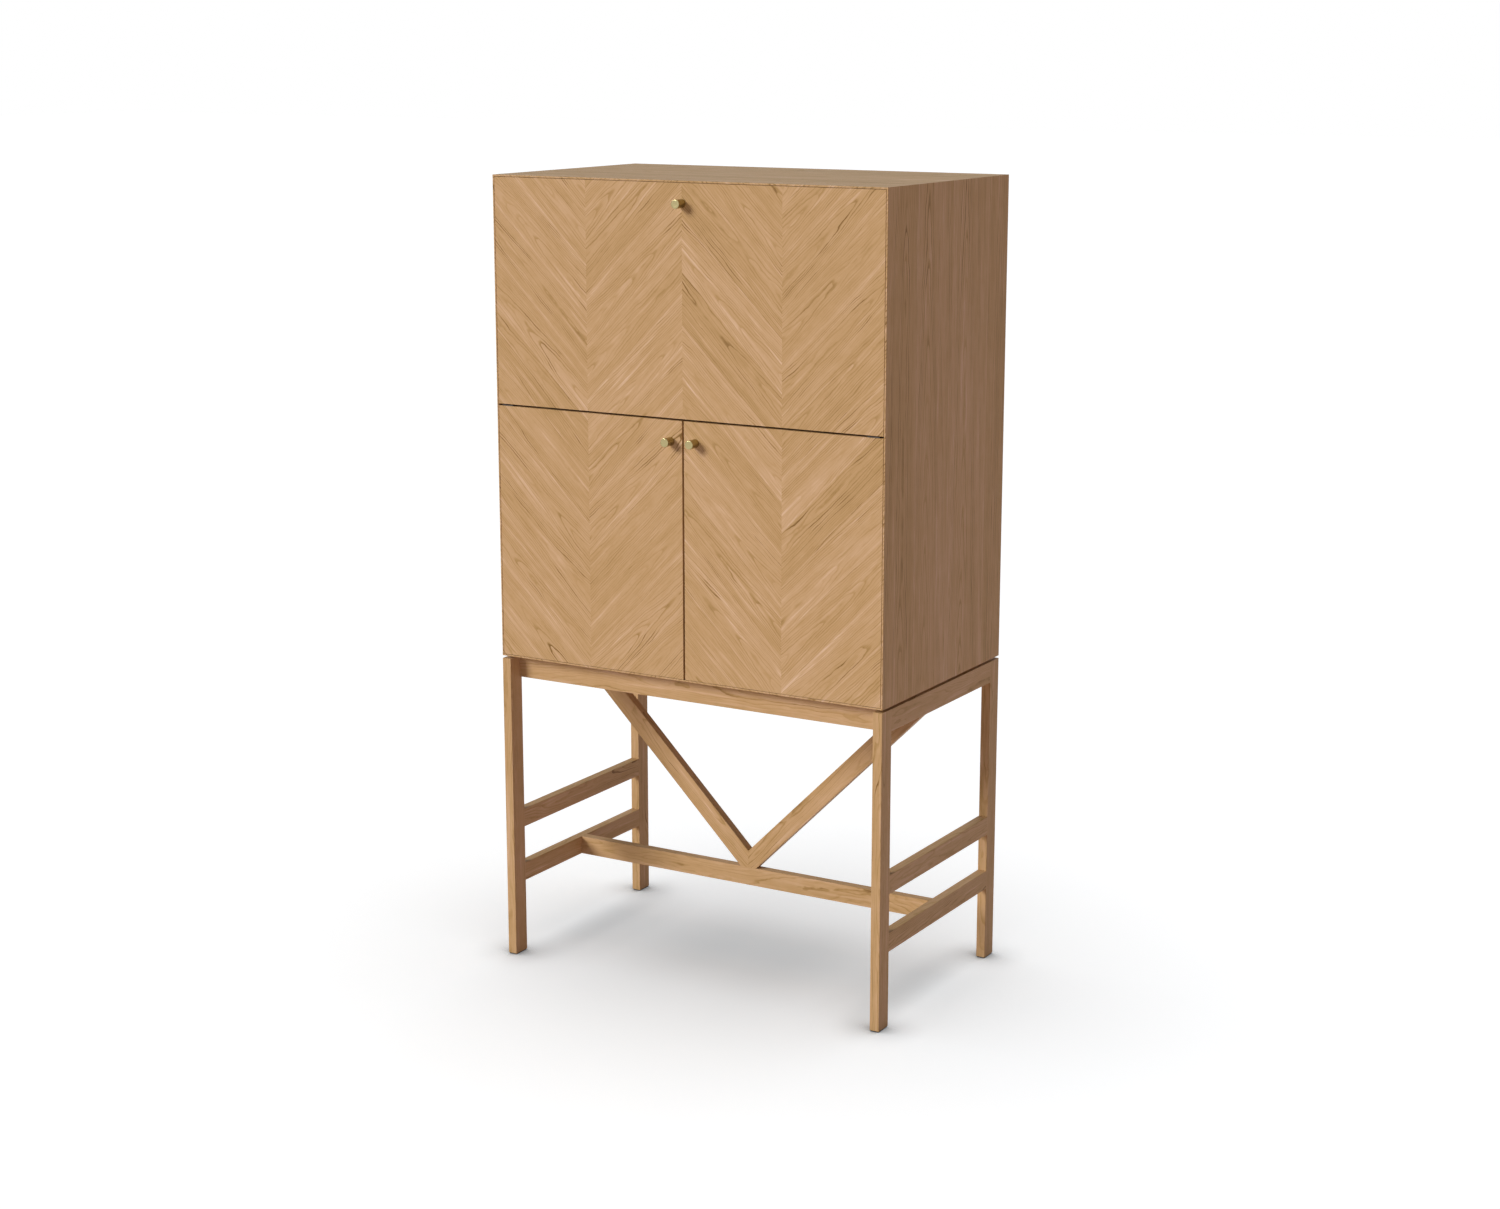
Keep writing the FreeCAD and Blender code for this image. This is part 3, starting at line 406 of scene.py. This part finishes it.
# %% [markdown]
# The front is one sheet of veneer, cut afterwards into flap and doors, so its chevron runs on
# across the gaps and over the thin front edges of the case. It has four upright columns,
# 200 mm wide, and the grain in them leans to one side and the other by 45 degrees. We could
# model the strips one by one, but folding the coordinate does the same: the distance from the
# middle of a half front, without its sign, turns a plain diagonal into a zigzag. The other
# faces have plain veneer, level inside the flap and upright inside the doors, so the way that
# the surface faces chooses between the two.

# %% Chevron veneer
COLUMN = 0.2
COLUMNS_APART, SIDES_APART = 0.37, 0.7
FRONT_LEAF = 0.066
FRONT_FACING = -0.3
FRONT_LIMIT = -0.2


def slanted(up, out):
    """The places along and across grain that climbs outwards at 45 degrees."""
    return (up + out) * math.sqrt(0.5), (up - out) * math.sqrt(0.5)


def chevron(x, z):
    """The places along, across and deep in the zigzag of the front."""
    fold = abs(abs(x) - COLUMN)
    column = (x / COLUMN).math("FLOOR")
    return *slanted(z, fold), column * COLUMNS_APART + 1


def grain_along(run, x, y, z):
    """The places along, across and deep for grain that runs in one direction."""
    if run == "slope":
        return *slanted(z, abs(x)), y + SIDES_APART * x.math("SIGN")
    return {"x": (x, y, z), "y": (y, z, x), "z": (z, y, x)}[run]


def oak_panel(name, run, leaf_width, coarse):
    """Veneer in a zigzag on the front of the cabinet, and in one direction elsewhere."""
    material, at = new_finish(name)
    x, y, z = place_in(at)
    facing = at.node("SeparateXYZ", {}, {0: at.node("TexCoord", out="Normal")}, out="Y")
    front = facing.math("LESS_THAN", FRONT_FACING) * y.math("LESS_THAN", FRONT_LIMIT)
    laid = zip(chevron(x, z), grain_along(run, x, y, z))
    places = [front * zigzag + (1 - front) * straight for zigzag, straight in laid]
    width = leaf_width + (FRONT_LEAF - leaf_width) * front
    return surface(material, veneer(at, *places, width, coarse))


def cover(names, material):
    """Give ready shapes a material."""
    for name in names:
        nodes[name].material_slots[0].material = material


cover(["fold_out_shelf"], oak_panel("oak_chevron_flap", "x", leaf_width=0.09, coarse=1.0))
cover(["left_door", "right_door"], oak_panel("oak_chevron_door", "z", leaf_width=0.09, coarse=1.0))
print("chevron on flap and doors, in columns of", COLUMN, "m")

# %% [markdown]
# The panels of the case are veneered in the same oak, with wider leaves and a bolder figure.
# The grain runs upright in the sides and the back, and left to right in the top, the bottom
# and the shelves. Each panel could have its own finish, but the figure comes from the place in
# the cabinet, so two finishes are enough and no two panels look the same.

# %% Case panels
SIDE_PANELS = ["left_side_panel", "right_side_panel"]
LEVEL_PANELS = ["top_panel", "bottom_panel", "middle_shelf", "adjustable_shelf"]
cover(SIDE_PANELS + ["back_panel"],
      oak_panel("oak_upright_panel", "z", leaf_width=0.14, coarse=1.5))
cover(LEVEL_PANELS, oak_panel("oak_level_panel", "x", leaf_width=0.14, coarse=1.5))
print("veneer on", len(SIDE_PANELS + LEVEL_PANELS) + 1, "panels of the case")

# %% [markdown]
# The stand is solid oak with the grain along each piece: upright in the legs, left to right in
# the cross rails, front to back in the side rails, and along the slope in the braces. Veneer
# would show its leaves there, so these pieces have rings that run through the wood from one
# face to the next.

# %% Solid stand
SIDES = ("left_", "right_")
ROLL = 0.07
ROLL_NOISE = {"length": 0.6, "width": 0.05, "detail": 1.0, "apart": 3.0}


def oak_stock(name, run):
    """Solid oak, with rings that roll gently through the wood."""
    material, at = new_finish(name)
    along, across, deep = grain_along(run, *place_in(at))
    roll = grain_noise(at, along, across, deep, **ROLL_NOISE)
    heart = 0.5 * across + 0.35 * deep + ROLL * roll
    return surface(material, oak(at, along, across, deep, heart))


cover([side + end + "_leg" for side in SIDES for end in ("front", "back")],
      oak_stock("oak_leg", "z"))
cover([side + level + "_rail" for side in SIDES for level in ("upper", "middle", "lower")],
      oak_stock("oak_side_rail", "y"))
cover(["front_rail", "back_rail", "centre_stretcher"], oak_stock("oak_cross_rail", "x"))
cover([side + "brace" for side in SIDES], oak_stock("oak_brace", "slope"))
print("solid oak on legs, rails and braces")

# %% [markdown]
# No joiner leaves a sharp edge: a few strokes of sandpaper take the arris off, and the soft
# edge catches the light. A bevel modifier would round every edge, also the mitres and the
# small cuts for fittings. So each shape is copied into a bmesh, its triangles are joined into
# whole faces, and only long square edges are bevelled. The copy then stands for the shape
# that it was made from, with the same oak on it.

# %% Eased edges
EASE = 0.0006
LONG_EDGE = 0.1
SQUARE_WITHIN = 0.02
FLAT_WITHIN = math.radians(1)
SLOT_OF = {part["node"]: part["material_slot"] for part in frame["record"]["subparts"]}


def stand_in(piece, name, body, finish):
    """Put a new piece in the place of a ready shape, on a body and with a finish."""
    scene.collection.objects.link(piece)
    piece.data.materials.append(finish)
    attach(piece, body)
    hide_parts(name)


def is_long_and_square(edge):
    """True for an outer edge of a board, and not for a mitre or a small cut."""
    return (edge.is_manifold and edge.is_convex and edge.calc_length() > LONG_EDGE
            and abs(edge.calc_face_angle() - math.pi / 2) < SQUARE_WITHIN)


def eased(name):
    """A copy of a ready shape with its long square edges softened."""
    form = bmesh.new()
    form.from_mesh(nodes[name].data)
    bmesh.ops.remove_doubles(form, verts=form.verts, dist=1e-5)
    bmesh.ops.dissolve_limit(form, angle_limit=FLAT_WITHIN, verts=form.verts, edges=form.edges)
    square = [edge for edge in form.edges if is_long_and_square(edge)]
    bmesh.ops.bevel(form, geom=square, offset=EASE, segments=2, profile=0.5, affect="EDGES")
    piece = bpy.data.objects.new(name + "_eased", bpy.data.meshes.new(name + "_eased"))
    form.to_mesh(piece.data)
    form.free()
    stand_in(piece, name, "case", nodes[name].material_slots[0].material)
    return len(square)


BOARDS = [name for name, kind in SLOT_OF.items() if kind == "oak_solid"]
BOARDS += SIDE_PANELS + LEVEL_PANELS
print("softened", sum(eased(name) for name in BOARDS), "edges on", len(BOARDS), "pieces")

# %% [markdown]
# The knobs are satin brass. A lathe leaves fine circles round the axis, on the face and on the
# barrel. An even brass would do at a distance, but close up the circles break the reflections,
# so noise that depends only on the radius and the height draws them. Each knob below has its
# origin on its own axis, so the circles lie round that axis.

# %% Turned brass
def turned_brass():
    """Satin brass with fine circles from the lathe."""
    material, at = new_finish("turned_brass")
    x, y, z = place_in(at)
    radius = (x * x + z * z).math("SQRT")
    circle = at.node("CombineXYZ", {}, {0: radius, 1: y})
    cuts = at.node("TexNoise", {}, {"Vector": circle, "Scale": 2600.0, "Detail": 2.0})
    tarnish = at.node("TexNoise", {}, {"Vector": at.node("TexCoord", out="Object"),
                                       "Scale": 220.0})
    tone = 0.6 * cuts + 0.4 * tarnish
    return surface(material, {
        "Base Color": tone.blend((0.34, 0.278, 0.128, 1), (0.475, 0.402, 0.212, 1)),
        "Roughness": 0.18 + 0.12 * tarnish,
        "Metallic": 1.0,
        "Normal": at.node("Bump", {}, {"Strength": 0.12, "Distance": 0.0001, "Height": cuts}),
    })


BRASS = turned_brass()
print("finish of the knobs:", BRASS.name)

# %% [markdown]
# The knobs are turned from rod, with a rounded rim and a face that is dished very slightly so
# that it doesn't look hollow. A cylinder with a bevel comes close, but spinning a profile is
# how the real one is made and gives each detail its own radius. The profile starts in the
# screw hole, runs out over the foot and the barrel, and ends in the middle of the face.

# %% Turned knobs
BORE, BORE_DEPTH = 0.00205, 0.012
FOOT, RIM = 0.0004, 0.0011
RIM_STEPS, TURN_STEPS = 6, 72
DISH_START, DISH_MIDDLE = 0.00012, 0.00018
SHARP_EDGE = math.radians(35)


def knob_profile(radius, length):
    """Radii and heights of a knob, from its screw hole to the middle of its face."""
    points = [(0, BORE_DEPTH), (BORE, BORE_DEPTH), (BORE, 0), (radius - FOOT, 0), (radius, FOOT)]
    for step in range(RIM_STEPS + 1):
        turn = step / RIM_STEPS * math.pi / 2
        points.append((radius - RIM * (1 - math.cos(turn)), length - RIM * (1 - math.sin(turn))))
    return points + [(radius - 2.4 * RIM, length - DISH_START), (0, length - DISH_MIDDLE)]


def turned_knob(name, body):
    """A knob spun from its profile, where the ready shape of that name is."""
    low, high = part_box(name)
    radius, length = (high.x - low.x) / 2, high.y - low.y
    form = bmesh.new()
    verts = [form.verts.new((r, -height, 0)) for r, height in knob_profile(radius, length)]
    edges = [form.edges.new(pair) for pair in zip(verts, verts[1:])]
    bmesh.ops.spin(form, geom=verts + edges, axis=(0, 1, 0), cent=(0, 0, 0),
                   angle=2 * math.pi, steps=TURN_STEPS)
    bmesh.ops.remove_doubles(form, verts=form.verts, dist=1e-6)
    bmesh.ops.recalc_face_normals(form, faces=form.faces)
    piece = bpy.data.objects.new(name + "_turned", bpy.data.meshes.new(name + "_turned"))
    form.to_mesh(piece.data)
    form.free()
    piece.data.shade_smooth()
    piece.data.set_sharp_from_angle(angle=SHARP_EDGE)
    piece.location = ((low.x + high.x) / 2, high.y, (low.z + high.z) / 2)
    stand_in(piece, name, body, BRASS)
    return radius


KNOBS = {"flap_knob": "flap", "left_door_knob": "left_leaf", "right_door_knob": "right_leaf"}
for name, body in KNOBS.items():
    print(name, "turned to", round(2000 * turned_knob(name, body), 2), "mm")
cover(KNOBS, BRASS)

# %% [markdown]
# The fittings inside are satin steel, browned steel and dark plastic, and the hidden dowels
# and tenons are pale raw beech. Each could have a pattern of its own, but all of these are
# close to one colour, so a fine grain that breaks up the colour and the gloss is enough.

# %% Steel, plastic and beech
def plain_finish(name, dark, light, grain_size, roughness, metallic=0.0):
    """A nearly even finish with fine mottling in its colour and gloss."""
    material, at = new_finish(name)
    mottle = at.node("TexNoise", {}, {"Vector": at.node("TexCoord", out="Object"),
                                      "Scale": 1 / grain_size, "Detail": 2.0})
    return surface(material, {
        "Base Color": mottle.blend((*dark, 1), (*light, 1)),
        "Roughness": roughness + 0.2 * (mottle - 0.5),
        "Metallic": metallic,
    })


FINISHES = {
    "steel": plain_finish("satin_steel", (0.42, 0.42, 0.43), (0.55, 0.55, 0.56),
                          grain_size=0.0015, roughness=0.38, metallic=1.0),
    "dark_steel": plain_finish("browned_steel", (0.045, 0.032, 0.024), (0.070, 0.050, 0.036),
                               grain_size=0.0015, roughness=0.5),
    "dark_plastic": plain_finish("dark_plastic", (0.035, 0.030, 0.026), (0.055, 0.048, 0.042),
                                 grain_size=0.0007, roughness=0.55),
    "beech": plain_finish("raw_beech", (0.58, 0.40, 0.24), (0.66, 0.48, 0.31),
                          grain_size=0.0025, roughness=0.65),
}
for name, kind in SLOT_OF.items():
    if kind in FINISHES:
        cover([name], FINISHES[kind])
print("other finishes:", ", ".join(FINISHES))
